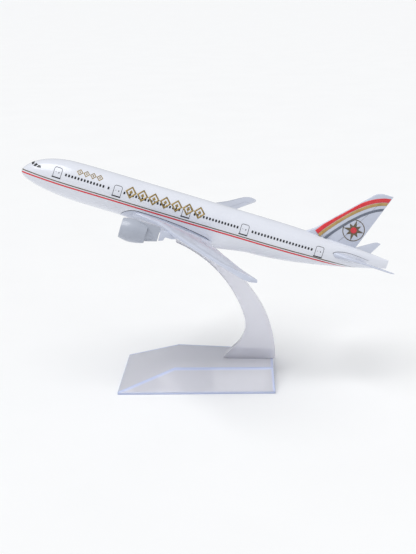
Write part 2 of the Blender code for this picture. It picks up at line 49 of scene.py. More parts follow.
def finish(name, tones, grain, gloss, bump=None, even=None):
    """A painted or moulded surface: the colour drifts between two tones in blotches of one grain size
    (mm), the roughness between two values, and a bump of (height in mm, grain in mm) lies over it.
    What is the same all over goes straight onto the shader's own sockets."""
    material = bpy.data.materials.new(name)
    material.use_nodes = True
    tree = material.node_tree
    shader = tree.nodes["Principled BSDF"]
    for socket, value in (even or {}).items():
        shader.inputs[socket].default_value = value
    place = tree.nodes.new("ShaderNodeTexCoord").outputs["Object"]

    def noise(size, detail):
        node = tree.nodes.new("ShaderNodeTexNoise")
        node.inputs["Scale"].default_value = 1.0 / (size * MM)
        node.inputs["Detail"].default_value = detail
        tree.links.new(place, node.inputs["Vector"])
        return node.outputs["Fac"]

    drift = noise(grain, 3.0)
    ramp = tree.nodes.new("ShaderNodeValToRGB")
    ramp.color_ramp.elements[0].position = 0.35
    ramp.color_ramp.elements[0].color = (*tones[0], 1.0)
    ramp.color_ramp.elements[1].position = 0.65
    ramp.color_ramp.elements[1].color = (*tones[1], 1.0)
    tree.links.new(drift, ramp.inputs["Fac"])
    tree.links.new(ramp.outputs["Color"], shader.inputs["Base Color"])
    spread = tree.nodes.new("ShaderNodeMapRange")
    spread.inputs["From Min"].default_value = 0.3
    spread.inputs["From Max"].default_value = 0.7
    spread.inputs["To Min"].default_value = gloss[0]
    spread.inputs["To Max"].default_value = gloss[1]
    tree.links.new(noise(grain * 0.37, 2.0), spread.inputs["Value"])
    tree.links.new(spread.outputs["Result"], shader.inputs["Roughness"])
    if bump:
        relief = tree.nodes.new("ShaderNodeBump")
        relief.inputs["Distance"].default_value = bump[0] * MM
        relief.inputs["Strength"].default_value = 0.6
        tree.links.new(noise(bump[1], 2.0), relief.inputs["Height"])
        tree.links.new(relief.outputs["Normal"], shader.inputs["Normal"])
    return material


desk_reach = 30.0
desk_depth = 0.00006
desk_mesh = bpy.data.meshes.new("desk")
desk_corners = [(across * desk_reach, deep * desk_reach, -desk_depth)
                for across, deep in ((-1, -1), (1, -1), (1, 1), (-1, 1))]
desk_mesh.from_pydata(desk_corners, [], [(0, 1, 2, 3)])
desk = bpy.data.objects.new("desk", desk_mesh)
SCENE.collection.objects.link(desk)
desk_white = finish("desk_top", ((0.915, 0.915, 0.915), (0.925, 0.925, 0.925)), 60.0, (0.7, 0.8),
                    even={"Specular IOR Level": 0.2})
desk_mesh.materials.append(desk_white)

room = bpy.data.worlds.new("room")
SCENE.world = room
room.use_nodes = True
room.node_tree.nodes["Background"].inputs["Color"].default_value = (0.955, 0.975, 1.0, 1.0)
room.node_tree.nodes["Background"].inputs["Strength"].default_value = 0.47

for name, aim, softness, strength in (
        ("key", (0.28, 0.26, -0.93), 50.0, 1.9),
        ("fill", (-0.70, 0.45, -0.55), 70.0, 0.25)):
    lamp = bpy.data.lights.new(name, "SUN")
    lamp.angle = math.radians(softness)
    lamp.energy = strength
    lamp_object = bpy.data.objects.new(name, lamp)
    lamp_object.rotation_euler = Vector(aim).to_track_quat("-Z", "Y").to_euler()
    SCENE.collection.objects.link(lamp_object)

view_turn, view_height, view_roll = (math.radians(a) for a in (2.43, 14.75, -1.29))
view_target = Vector((-0.00045, 0.0, 0.04409))
view_distance = 0.5049
back = Vector((math.sin(view_turn) * math.cos(view_height), -math.cos(view_turn) * math.cos(view_height),
               math.sin(view_height)))
level = Vector((math.cos(view_turn), math.sin(view_turn), 0.0))
upright = back.cross(level)
across = level * math.cos(view_roll) + upright * math.sin(view_roll)
rise = upright * math.cos(view_roll) - level * math.sin(view_roll)
eye = view_target + view_distance * back
lens = bpy.data.cameras.new("eye")
lens.lens = 76.4
camera = bpy.data.objects.new("eye", lens)
camera.matrix_world = Matrix(((across.x, rise.x, back.x, eye.x), (across.y, rise.y, back.y, eye.y),
                              (across.z, rise.z, back.z, eye.z), (0.0, 0.0, 0.0, 1.0)))
SCENE.collection.objects.link(camera)
SCENE.camera = camera
SCENE.view_settings.view_transform = "Standard"


# === Fuselage ====================================================================================
# Two die-cast halves, joined along crown and keel, filled and painted gloss white, so they show as
# one skin. Under the wing they end at a flat cradle in which the wing casting sits.
CABIN_RADIUS = 8.2
FUSELAGE_LENGTH = 160.0
NOSE_DROP = -2.2
NOSE_PITCH = math.radians(17.7)
NOSE_TIP = (-77.566, 93.58)
CRADLE_ENDS = (44.62, 86.3)
gloss_white = finish("gloss_white_paint", ((0.745, 0.765, 0.835), (0.775, 0.795, 0.865)), 14.0, (0.16, 0.24),
                     bump=(0.012, 1.6),
                     even={"Coat Weight": 0.35, "Coat Roughness": 0.16, "Specular IOR Level": 0.5})


def smooth_step(value, start, end):
    """Cubic ease from 0 at start to 1 at end."""
    t = np.clip((value - start) / (end - start), 0.0, 1.0)
    return t * t * (3.0 - 2.0 * t)


def belly_bulge(s):
    """Share of the wing fairing below the round section: eases in before the wing and out after it."""
    return smooth_step(s, 44.8, 62.0) - smooth_step(s, 82.0, 104.0)


def nose_curve(s, length, power):
    """Blunt nose: one less the square of the distance still to go, raised to a power."""
    return (1.0 - (1.0 - np.clip(s / length, 0.0, 1.0)) ** 2) ** power


def tail_share(s):
    return np.clip((s - 104.0) / (FUSELAGE_LENGTH - 104.0), 0.0, 1.0)


def crown(s):
    """Height of the top line: the nose curve, a fifth of a millimetre flatter over the forehead, and
    a gentle fall towards the tail."""
    brow = 0.22 * np.exp(-((s - 17.5) / 9.0) ** 2)
    rise = (CABIN_RADIUS - NOSE_DROP) * nose_curve(s, 22.0, 0.62)
    return NOSE_DROP - brow + rise - 2.5 * tail_share(s) ** 2


def keel(s):
    """Height of the bottom line: the nose curve, which starts softly at the very tip, the bulge of
    the wing fairing, and the long rise under the tail."""
    fall = (CABIN_RADIUS + NOSE_DROP) * nose_curve(s, 30.0, 0.55) * (1.0 - 0.65 * np.exp(-s / 0.4))
    return NOSE_DROP - fall - 2.1 * belly_bulge(s) + 10.2 * tail_share(s) ** 1.5


def half_width(s):
    return CABIN_RADIUS * nose_curve(s, 22.0, 0.55) - (CABIN_RADIUS - 0.45) * tail_share(s) ** 1.7


def waist(s):
    """Height of the widest point of a section."""
    nose = NOSE_DROP * (1.0 - np.clip(s / 22.0, 0.0, 1.0)) ** 2
    return nose + (10.2 * tail_share(s) ** 1.5 - 2.5 * tail_share(s) ** 2) / 2.0


def squareness(s):
    """Exponent of the lower half of a section: 1 is an ellipse, less is squarer."""
    return 2.0 / (2.0 + 1.3 * belly_bulge(s))


def hull_point(s, turn):
    """Section of the fuselage at station s: turn goes from 90 degrees at the crown through 0 at the
    waist to -90 at the keel. Above the waist y = w cos t and z = h sin t; below, both are raised to
    the squareness. Returns the distance out from the middle and the height."""
    low = np.minimum(turn, 0.0)
    high = np.maximum(turn, 0.0)
    q = squareness(s)
    out = half_width(s) * np.where(turn > 0.0, np.cos(high), np.abs(np.cos(low)) ** q)
    height = np.where(turn > 0.0, waist(s) + (crown(s) - waist(s)) * np.sin(high),
                      waist(s) - (waist(s) - keel(s)) * np.abs(np.sin(low)) ** q)
    return out, height


def turn_at_height(s, z):
    """The turn of hull_point that lies at height z."""
    above, below = (z - waist(s)) / (crown(s) - waist(s)), (waist(s) - z) / (waist(s) - keel(s))
    ratio = np.clip(np.where(z > waist(s), above, below), 0.0, 1.0)
    return np.where(z > waist(s), np.arcsin(ratio), -np.arcsin(ratio ** (1.0 / squareness(s))))


def parting_height(s, gap=0.0):
    """Side view of the line between fuselage and wing casting: it follows the wing's back in a
    shallow parabola, with a quarter ellipse down to the keel at either end; gap moves it inwards."""
    front = np.clip((51.9 - s) / (7.3 - gap), 0.0, 1.0)
    rear = np.clip((s - 82.0) / (4.3 - gap), 0.0, 1.0)
    top = 6.15 - 0.0037 * (s - 56.0) ** 2 - gap
    return -9.0 + top * np.sqrt(1.0 - front ** 2) * np.sqrt(1.0 - rear ** 2)


def on_stand(points):
    """From the airliner's own frame (aft of the nose, to the right wing, up, in mm) to metres on the
    desk, with the nose raised by the pitch about the nose tip."""
    s, y, z = points[..., 0], points[..., 1], points[..., 2]
    x = NOSE_TIP[0] + s * math.cos(NOSE_PITCH) + z * math.sin(NOSE_PITCH)
    up = NOSE_TIP[1] - s * math.sin(NOSE_PITCH) + z * math.cos(NOSE_PITCH)
    return np.stack([x, y, up], axis=-1) * MM


def grid_faces(rows, columns, closed=False):
    """Quads of a grid of rows by columns points; closed joins the last column to the first."""
    i = np.arange(rows - 1)[:, None]
    j = np.arange(columns if closed else columns - 1)[None, :]
    k = (j + 1) % columns
    here, after = i * columns, (i + 1) * columns
    return np.stack([here + j, here + k, after + k, after + j], axis=-1).reshape(-1, 4)


def tube(grid):
    """A row of closed rings, skinned with quads and capped at both ends: points and faces."""
    rows, columns = grid.shape[:2]
    faces = grid_faces(rows, columns, closed=True).tolist()
    faces.append(list(range(columns))[::-1])
    faces.append(list(range((rows - 1) * columns, rows * columns)))
    return grid.reshape(-1, 3), faces


def gather(shells):
    """Several shells of points and faces as one."""
    points, faces, first = [], [], 0
    for shell_points, shell_faces in shells:
        points.append(shell_points)
        faces += [[first + k for k in face] for face in shell_faces]
        first += len(shell_points)
    return np.concatenate(points), faces


def closed_mesh(name, points, faces):
    """A mesh of closed shells, in metres, turned to face outwards."""
    mesh = bpy.data.meshes.new(name)
    mesh.from_pydata(points.tolist(), [], faces)
    shell = bmesh.new()
    shell.from_mesh(mesh)
    bmesh.ops.recalc_face_normals(shell, faces=shell.faces)
    shell.to_mesh(mesh)
    shell.free()
    return mesh


def piece(name, points, faces, material, body, slot, crease=35.0):
    """A named closed mesh that rides on a body; edges sharper than the crease angle stay sharp."""
    mesh = closed_mesh(name, points, faces)
    mesh.materials.append(material)
    mesh.shade_smooth()
    mesh.set_sharp_from_angle(angle=math.radians(crease))
    thing = bpy.data.objects.new(name, mesh)
    SCENE.collection.objects.link(thing)
    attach(thing, body)
    return thing


def stations(*spans):
    """Sorted stations from several (start, end, count) spans, without doubles."""
    every = np.concatenate([np.linspace(*span) for span in spans])
    return np.unique(np.round(every, 4))


front_end, rear_end = CRADLE_ENDS
upper_steps, side_steps, belly_steps = 24, 12, 14
edge_column = upper_steps + side_steps
s = stations((0.03, 0.6, 8), (0.6, 6.0, 20), (6.0, 24.0, 30), (24.0, 44.2, 20), (front_end, 46.0, 16),
             (46.2, 51.0, 16), (51.5, 81.0, 40), (81.6, rear_end, 24), (86.34, 104.0, 22),
             (104.0, 150.0, 60), (150.0, FUSELAGE_LENGTH, 22))
ahead, behind = s < front_end - 0.01, s > rear_end + 0.01
inside = ~ahead & ~behind
upper = np.linspace(90.0, 0.0, upper_steps + 1)[None, :] * np.ones((len(s), 1))
edge = np.degrees(turn_at_height(s, np.where(inside, parting_height(s), 0.0)))
edge = np.where(ahead, -84.0, np.where(behind, edge[inside][-1], edge))[:, None]
side = edge * np.linspace(0.0, 1.0, side_steps + 1)[None, 1:]
belly = edge + (-90.0 - edge) * np.linspace(0.0, 1.0, belly_steps + 1)[None, 1:]
turns = np.radians(np.concatenate([upper, side, belly], axis=1))
out, height = hull_point(s[:, None], turns)
past_edge = np.arange(turns.shape[1])[None, :] - edge_column
in_cradle = inside[:, None] & (past_edge > 0)
ceiling_share = np.clip(past_edge / float(belly_steps), 0.0, 1.0)
out = np.where(in_cradle, out[:, edge_column:edge_column + 1] * (1.0 - ceiling_share), out)
height = np.where(in_cradle, height[:, edge_column:edge_column + 1], height)
left = np.stack([s[:, None] + 0.0 * out, -out, height], axis=-1)
right = left[:, 1:-1][:, ::-1] * np.array([1.0, -1.0, 1.0])
points, faces = tube(on_stand(np.concatenate([left, right], axis=1)))
fuselage = piece("fuselage_skin", points, faces, gloss_white, "airliner", "fuselage_white")
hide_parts("fuselage_left_half", "fuselage_right_half")


# === Wing casting ================================================================================
# One zinc casting: both wings with the belly fairing between them, sprayed light blue-grey. Its
# tray fits the cradle with a fine gap all round, and it has the socket for the stand's tongue.
WING_LEADING_ROOT, WING_LEADING_SLOPE = 57.1, 0.605
WING_TRAILING_ROOT, WING_TRAILING_SLOPE = 85.1, 0.371
WING_ROOT, WING_KINK, WING_ROUNDING, WING_TIP = 7.75, 27.9, 72.5, 76.4
TRAY_GAP = 0.3
wing_grey = finish("wing_grey_paint", ((0.555, 0.59, 0.70), (0.585, 0.62, 0.73)), 10.0, (0.16, 0.24),
                   bump=(0.010, 1.2), even={"Coat Weight": 0.3, "Coat Roughness": 0.16})


def airfoil_half(t, thickness):
    """Half thickness of a symmetric section at share t of the chord, with a blunt 0.14 mm edge."""
    return thickness / 2.0 * (2.97 * np.sqrt(t) - 1.26 * t - 3.516 * t ** 2 + 2.843 * t ** 3
                              - 1.015 * t ** 4) + 0.14


def wing_edges(y):
    """Leading and trailing edge at span y, straight, with a flare that runs the root forward, a kink
    in the trailing edge outboard of the engine and a tip whose leading edge rounds off."""
    outboard = np.maximum(y - WING_ROOT, 0.0)
    flare = 6.7 * np.clip(1.0 - outboard / 9.3, 0.0, 1.0) ** 2
    leading = WING_LEADING_ROOT + WING_LEADING_SLOPE * outboard - flare
    trailing = WING_TRAILING_ROOT + WING_TRAILING_SLOPE * np.maximum(y - WING_KINK, 0.0)
    rounding = np.maximum((y - WING_ROUNDING) / (WING_TIP - WING_ROUNDING), 0.0) ** 2
    return leading + 0.45 * rounding * (trailing - leading), trailing


def wing_surface(y, t, side):
    """Height of the wing at span y and chord share t; side is 1 above and -1 below. The chord runs
    straight between an edge line at the front and one at the rear, which bend up in a dihedral; the
    leading edge is blunter by a fifth of a millimetre and the tip by half a millimetre."""
    leading, trailing = wing_edges(y)
    half = airfoil_half(t, 0.085 * (trailing - leading) + 0.2) + 0.22 * (1.0 - t)
    half = half + 0.5 * smooth_step(y, 58.0, WING_TIP)
    spans = (0.0, 8.2, 10.5, 13.0, 18.0, 30.0, 45.0, 60.0, 72.5, 75.2, 76.4)
    front = np.interp(y, spans, (-4.7, -4.65, -4.5, -4.35, -4.15, -3.6, -2.8, -1.8, -0.45, -0.2, -0.1))
    rear = np.interp(y, spans, (-7.2, -7.1, -6.3, -5.5, -4.6, -3.35, -2.3, -1.35, -0.4, -0.2, -0.1))
    return front + t * (rear - front) + side * half


def wing_shell(sign):
    """One wing from inside the fairing to the tip: sections from the leading edge over the top to
    the trailing edge and back below."""
    y = stations((6.3, 20.0, 16), (20.0, 72.0, 40), (72.0, 76.0, 12), (76.0, 76.4, 4))[:, None]
    share = (1.0 - np.cos(np.linspace(0.0, math.pi, 33))) / 2.0
    share = share[None, :] ** 1.15
    leading, trailing = wing_edges(y)
    tip = np.sqrt(np.clip(1.0 - ((y - 75.4) / 1.0) ** 2, 0.02, 1.0))
    tip = np.where(y < 75.4, 1.0, tip)
    middle = (wing_surface(y, share, 1.0) + wing_surface(y, share, -1.0)) / 2.0
    top = middle + (wing_surface(y, share, 1.0) - middle) * tip
    below = middle + (wing_surface(y, share, -1.0) - middle) * tip
    along = leading + share * (trailing - leading)
    top = np.stack([along, sign * y + 0.0 * along, top], axis=-1)
    below = np.stack([along, sign * y + 0.0 * along, below], axis=-1)[:, ::-1]
    return tube(on_stand(np.concatenate([top, below], axis=1)))


s = stations((44.91, 46.4, 20), (46.6, 51.5, 18), (52.0, 81.5, 40), (82.0, 86.0, 26))
edge = turn_at_height(s, parting_height(s, TRAY_GAP))
turns = edge[:, None] + (-math.pi / 2 - edge[:, None]) * np.linspace(0.0, 1.0, 21)[None, :]
out, height = hull_point(s[:, None], turns)
left = np.stack([s[:, None] + 0.0 * out, -out, height], axis=-1)
right = left[:, :-1][:, ::-1] * np.array([1.0, -1.0, 1.0])
points, faces = tube(on_stand(np.concatenate([left, right], axis=1)))
wings = piece("wing_casting_skin", points, faces, wing_grey, "airliner", "wing_grey")


def block(low, high):
    """A box between two corners in mm, as points and faces."""
    ends = list(zip(low, high))
    corners = np.array([(x, y, z) for x in ends[0] for y in ends[1] for z in ends[2]])
    return corners, [[0, 1, 3, 2], [4, 6, 7, 5], [0, 4, 5, 1], [2, 3, 7, 6], [0, 2, 6, 4], [1, 5, 7, 3]]


def drum(station, side, radius, bottom, top, sides=32):
    """An upright cylinder in the airliner's frame, as points and faces."""
    angle = np.arange(sides) * 2.0 * math.pi / sides
    ring = np.stack([station + radius * np.cos(angle), side + radius * np.sin(angle), 0.0 * angle], axis=-1)
    return tube(np.stack([ring + (0.0, 0.0, bottom), ring + (0.0, 0.0, top)]))


def carve(thing, shells, operation="DIFFERENCE"):
    """Cut shells out of a piece, or join them to it, and keep only the result."""
    tool = bpy.data.objects.new("tool", closed_mesh("tool", *gather(shells)))
    SCENE.collection.objects.link(tool)
    modifier = thing.modifiers.new("carve", "BOOLEAN")
    modifier.operation = operation
    modifier.object = tool
    modifier.solver = "EXACT"
    result = bpy.data.meshes.new_from_object(thing.evaluated_get(bpy.context.evaluated_depsgraph_get()))
    thing.modifiers.clear()
    thing.data = result
    bpy.data.objects.remove(tool)
    return thing


def in_airliner(shell):
    return on_stand(shell[0]), shell[1]


def shrunk(outline, depth):
    """A closed outline moved inwards: each corner along the mitre of its two sides."""
    sides = np.roll(outline, -1, axis=0) - outline
    normals = np.stack([-sides[:, 1], sides[:, 0]], axis=-1) / np.linalg.norm(sides, axis=1, keepdims=True)
    area = np.sum(outline[:, 0] * sides[:, 1] - outline[:, 1] * sides[:, 0])
    before = np.roll(normals, 1, axis=0)
    mitre = (normals + before) / (1.0 + np.sum(normals * before, axis=1, keepdims=True))
    return outline + depth * math.copysign(1.0, area) * mitre


def plate(outline, side, half, rounding):
    """An upright plate of the airliner's frame from its side view. Its edges turn over in a quarter
    circle: the outline shrinks by r (1 - cos a) while the face steps out by r sin a."""
    outline = np.array(outline)
    angles = np.radians([90.0, 60.0, 30.0, 0.0])
    rims = [(rounding * (1.0 - math.cos(a)), half - rounding * (1.0 - math.sin(a))) for a in angles]
    rings = [(depth, -step) for depth, step in rims] + [(depth, step) for depth, step in rims[::-1]]
    grid = [np.insert(shrunk(outline, depth), 1, side + step, axis=1) for depth, step in rings]
    return tube(on_stand(np.stack(grid)))


BELLY = -10.3
PLATE_HALF = 0.8
SCREW_HOLE, SCREW_DEPTH = 1.8, 1.6
ENGINE_SPAN, ENGINE_HEIGHT = 24.0, -7.7
stub_outline = ((63.8, -4.0), (63.8, -8.3), (64.0, -8.5), (64.5, -8.42), (65.6, -7.95), (65.85, -7.75),
                (66.1, -6.6), (66.4, -6.38), (69.0, -6.35), (70.2, -6.0), (71.5, -5.2), (71.5, -4.0))
carve(wings, [wing_shell(-1.0), wing_shell(1.0)], "UNION")
for sign in (-1.0, 1.0):
    carve(wings, [plate(stub_outline, sign * ENGINE_SPAN, PLATE_HALF, 0.15)], "UNION")
socket = block((72.2, -1.9, BELLY - 5.0), (79.8, 1.9, BELLY + 4.0))
screw_holes = [drum(station, side, SCREW_HOLE, BELLY - 9.0, BELLY + SCREW_DEPTH)
               for station, side in ((63.0, -3.3), (80.9, 3.4))]
carve(wings, [in_airliner(shell) for shell in (socket, *screw_holes)])
wings.data.shade_smooth()
wings.data.set_sharp_from_angle(angle=math.radians(38.0))
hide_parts("wing_casting")


# === Tail surfaces ===============================================================================
# The fin and the two stabilisers are separate castings, sprayed like the wings and pushed into
# slots in the tail of the fuselage, which show as a fine outline round each root.
FIN = ((121.5, 144.4, 5.8), (146.8, 153.2, 32.3))
STABILISER = ((137.6, 149.6, 1.4), (156.7, 159.1, 26.5))
STABILISER_HEIGHTS = (1.9, 6.45)
FIN_BEND = (3.0, 0.22, 0.05)


def tail_edges(share, root, tip, flare, reach, rounding):
    """Leading and trailing edge at a share of the span: straight, with a concave flare ahead of the
    root that dies away at its reach, and a front corner that rounds off at the tip."""
    leading = root[0] + (tip[0] - root[0]) * share - flare * np.clip(1.0 - share / reach, 0.0, 1.0) ** 2
    trailing = root[1] + (tip[1] - root[1]) * share
    corner = np.clip((share - 1.0 + rounding) / rounding, 0.0, 1.0)
    return leading + (1.0 - np.sqrt(1.0 - 0.9 * corner ** 2)) * 0.5 * (tip[1] - tip[0]), trailing


def tail_half(t, leading, trailing):
    return airfoil_half(t, 0.075 * (trailing - leading) + 0.25)


def tail_shell(root, tip, flare, reach, rounding, swell, heights, sign):
    """Tail surface as sections from the leading edge over one side and back over the other. It stands
    upright, or lies flat where it is given the heights of its root and tip."""
    near_tip = 1.0 - 0.1 * np.linspace(0.9, 0.0, 12) ** 2
    share = np.concatenate([np.linspace(0.0, 0.9, 28), near_tip])[:, None]
    t = ((1.0 - np.cos(np.linspace(0.0, math.pi, 25))) / 2.0)[None, :] ** 1.15
    leading, trailing = tail_edges(share, root, tip, flare, reach, rounding)
    tip_round = np.sqrt(np.clip(1.0 - ((share - 0.985) / 0.016) ** 2 * (share > 0.985), 0.04, 1.0))
    root_swell = 1.0 + swell * np.clip(1.0 - share / reach, 0.0, 1.0) ** 2
    half = tail_half(t, leading, trailing) * tip_round * root_swell
    along = leading + t * (trailing - leading)
    span = root[2] + (tip[2] - root[2]) * share + 0.0 * along
    if heights:
        height = heights[0] + (heights[1] - heights[0]) * share
        first = np.stack([along, sign * span, height + half], axis=-1)
        second = np.stack([along, sign * span, height - half], axis=-1)
    else:
        first = np.stack([along, half, span], axis=-1)
        second = np.stack([along, -half, span], axis=-1)
    return tube(on_stand(np.concatenate([first, second[:, ::-1]], axis=1)))


fin_shell = tail_shell(*FIN, *FIN_BEND, 0.0, None, 1.0)
fin = piece("fin_skin", *fin_shell, wing_grey, "airliner", "wing_grey")
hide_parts("tail_fin")
for side, sign in (("left", -1.0), ("right", 1.0)):
    shell = tail_shell(*STABILISER, 10.0, 0.45, 0.08, 1.0, STABILISER_HEIGHTS, sign)
    stabiliser = piece("stabiliser_skin_" + side, *shell, wing_grey, "airliner", "wing_grey")
    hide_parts("stabiliser_" + side)


# === Engines =====================================================================================
# Each engine is a turned-looking cowl with a thin lip, glued over a core with a tail cone, and hung
# on a flat plate that runs up into the wing. A pressed fan disc with a spinner sits in the inlet.
ENGINE_FRONT, ENGINE_REAR, FAN_FACE, CONE_TIP = 47.8, 58.4, 50.4, 62.4
engine_grey = finish("engine_grey_paint", ((0.40, 0.43, 0.505), (0.43, 0.46, 0.535)), 8.0, (0.26, 0.36),
                     bump=(0.010, 0.9), even={"Coat Weight": 0.45, "Coat Roughness": 0.12})
fan_metal = finish("fan_metal", ((0.16, 0.165, 0.18), (0.22, 0.225, 0.24)), 3.0, (0.28, 0.4),
                   even={"Metallic": 0.9})
AXIS_HOLE = 0.004


def turned(profile, middle, steps=72, ridge=0.0):
    """Turn a closed profile of (radius, aft) pairs about an axis that runs aft through middle, with
    a fine mould line left along both sides."""
    profile = np.array(profile)
    angle = (np.arange(steps) * 2.0 * math.pi / steps)[None, :]
    swell = ridge * np.exp(-(np.sin(angle) / 0.06) ** 2)
    radius, aft = profile[:, :1], profile[:, 1:]
    radius = np.maximum(radius, AXIS_HOLE) + np.where(radius > 1.0, swell, 0.0)
    grid = np.stack([middle[0] + aft + 0.0 * radius, middle[1] + radius * np.cos(angle),
                     middle[2] + radius * np.sin(angle)], axis=-1)
    faces = grid_faces(len(profile) + 1, steps, closed=True) % radius.size
    return on_stand(grid).reshape(-1, 3), faces.tolist()


def cowl_radius(share):
    """Barrel of the cowl: a quarter sine out to the widest part at 0.4, a quarter cosine in to the
    nozzle."""
    front = 4.1 + 0.68 * np.sin(math.pi / 2 * np.clip(share / 0.4, 0.0, 1.0))
    rear = 3.63 + 1.15 * np.cos(math.pi / 2 * np.clip((share - 0.4) / 0.6, 0.0, 1.0))
    return np.where(share < 0.4, front, rear)


COWL_WALL, LIP_RADIUS, LIP_MIDDLE = 0.7, 0.30, 3.86
BLADES = 22
length = ENGINE_REAR - ENGINE_FRONT
share = np.linspace(1.0, 0.05, 40)
lip = np.linspace(0.0, math.pi, 11)
outer = list(zip(cowl_radius(share), share * length))
lip_round = [(LIP_MIDDLE + LIP_RADIUS * math.cos(a), LIP_RADIUS * (1.0 - math.sin(a))) for a in lip]
inner = [(cowl_radius(t) - COWL_WALL, t * length) for t in np.linspace(0.08, 1.0, 24)]
fan_at = FAN_FACE - ENGINE_FRONT
radius = float(cowl_radius(fan_at / length)) - 1.0
hub = [(0.0, -1.32), (0.25, -1.25), (0.55, -0.98), (0.8, -0.62), (0.98, -0.2), (1.05, 0.1), (1.05, 0.25),
       (radius, 0.42), (radius, 0.7), (0.0, 0.7)]
across_share = np.linspace(-0.5, 0.5, 4)[None, :]
reach = np.linspace(1.0, radius - 0.02, 7)[:, None]
twist = np.radians(18.0 + 34.0 * (reach - 1.0) / (radius - 1.0))
chord = 0.62 + 0.10 * (reach - 1.0)
aft = fan_at + 0.12 + chord * np.cos(twist) * across_share * 0.6
tip = CONE_TIP - ENGINE_FRONT
nozzle = [(0.0, tip), (0.28, tip - 0.03), (0.5, tip - 0.12), (0.66, tip - 0.3), (0.82, tip - 0.6),
          (2.42, length + 0.3), (2.5, length + 0.1), (2.56, length - 0.2), (2.7, length - 4.0),
          (2.4, fan_at + 1.2), (0.0, fan_at + 1.2)]
pylon_outline = ((51.6, -2.9), (63.4, -2.9), (63.4, -9.0), (58.9, -10.3), (58.45, -10.3), (58.2, -6.0),
                 (51.6, -6.0))
for side, sign in (("left", -1.0), ("right", 1.0)):
    middle = (ENGINE_FRONT, sign * ENGINE_SPAN, ENGINE_HEIGHT)
    cowl = piece("engine_cowl_skin_" + side, *turned(outer + lip_round + inner, middle, ridge=0.05),
                 engine_grey, "airliner", "engine_grey", crease=50.0)
    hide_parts("engine_cowl_" + side)

    shells = [turned([(r, fan_at + a) for r, a in hub], middle, steps=48)]
    for number in range(BLADES):
        turn = 2.0 * math.pi * number / BLADES + chord * np.sin(twist) / reach * across_share
        blade = np.stack([middle[0] + aft, middle[1] + reach * np.cos(turn),
                          middle[2] + reach * np.sin(turn)], axis=-1)
        behind = blade[:, ::-1] + np.array([0.07, 0.0, 0.0])
        shells.append(tube(on_stand(np.concatenate([blade, behind], axis=1))))
    fan = piece("engine_fan_disc_" + side, *gather(shells), fan_metal, "airliner", "fan_dark")
    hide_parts("engine_fan_" + side)

    core = piece("engine_core_skin_" + side, *turned(nozzle, middle, steps=48), engine_grey, "airliner",
                 "engine_grey")
    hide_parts("engine_core_" + side)

for side, sign in (("left", -1.0), ("right", 1.0)):
    middle = (ENGINE_FRONT, sign * ENGINE_SPAN, ENGINE_HEIGHT)
    pylon_shell = plate(pylon_outline, sign * ENGINE_SPAN, PLATE_HALF, 0.2)
    pylon = piece("engine_pylon_plate_" + side, *pylon_shell, engine_grey, "airliner", "engine_grey")
    carve(pylon, [turned([(0.0, length)] + outer + [(0.0, outer[-1][1])], middle)])
    carve(pylon, [turned(nozzle, middle, steps=48)])
    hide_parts("engine_pylon_" + side)


# === Printing on the fuselage ====================================================================
# Pad-printed films of ink a few hundredths of a millimetre thick: a bronze and a red line along
# the sides, cabin windows, doors, cockpit glazing, and a plain ornament of gold lozenges.
INK = 0.035
FILM = 0.02


def ink(name, tones, gloss, even=None):
    return finish(name, tones, 1.5, gloss, even=even)


def sheet(film, closed=False):
    """A grid of points in the airliner's frame as a film of quads on the desk's frame."""
    return on_stand(film).reshape(-1, 3), grid_faces(*film.shape[:2], closed).tolist()


def filled(film):
    """Closed rings of points that grow from a small innermost one, which is filled in."""
    points, faces = sheet(film, closed=True)
    return points, faces + [list(range(film.shape[1]))]


def densified(ring, steps):
    """A closed line of corners with each of its sides divided into equal steps."""
    share = np.linspace(0.0, 1.0, steps, endpoint=False)[None, :, None]
    return (ring[:, None] + (np.roll(ring, -1, axis=0) - ring)[:, None] * share).reshape(-1, 2)


def hull_film(s, turn, sign, lift=INK):
    """Points just off the fuselage: the hull point moved along its normal, which is the cross product
    of the steps to two close neighbours on the surface."""
    step = 0.02
    clipped = np.maximum(s, step)

    def spot(s, turn):
        out, height = hull_point(s, turn)
        return np.stack([s + 0.0 * turn, sign * out, height], axis=-1)

    here = spot(clipped, turn)
    aft = spot(clipped + step, turn) - spot(clipped - step, turn)
    up = spot(clipped, turn + step) - spot(clipped, turn - step)
    normal = np.cross(aft, up)
    normal = normal / np.linalg.norm(normal, axis=-1, keepdims=True) * sign
    centre = np.stack([0.0 * here[..., 0], here[..., 1], here[..., 2] - waist(clipped)], axis=-1)
    facing = np.sign(np.sum(normal * centre, axis=-1, keepdims=True))
    return here + normal * facing * lift


def ribbon_on_hull(s, low, high, sign, rows=3):
    """A band along the hull between two heights given at each station."""
    share = np.linspace(0.0, 1.0, rows)[None, :]
    z = low[:, None] + (high - low)[:, None] * share
    return sheet(hull_film(s[:, None] + 0.0 * z, turn_at_height(s[:, None], z), sign))


def rounded_patch(s, z, width, height, corner, sign, lift=INK):
    """A filled rounded rectangle on the hull's side, as a fan of quads between an inner and an outer
    ring."""
    ring = rounded_outline(width, height, corner)
    rings = np.stack([ring * 0.02, ring * 0.55, ring])
    along = s + rings[..., 0]
    return filled(hull_film(along, turn_at_height(along, z + rings[..., 1]), sign, lift))


def rounded_outline(width, height, corner, steps=4):
    """Corner arcs of a rounded rectangle about the origin, joined by straight sides."""
    angle = np.linspace(0.0, math.pi / 2, steps)
    arcs = []
    for quarter, (a, b) in enumerate(((1, 1), (-1, 1), (-1, -1), (1, -1))):
        turn = angle + quarter * math.pi / 2
        arcs.append(np.stack([a * (width / 2 - corner) + corner * np.cos(turn),
                              b * (height / 2 - corner) + corner * np.sin(turn)], axis=-1))
    return np.concatenate(arcs)


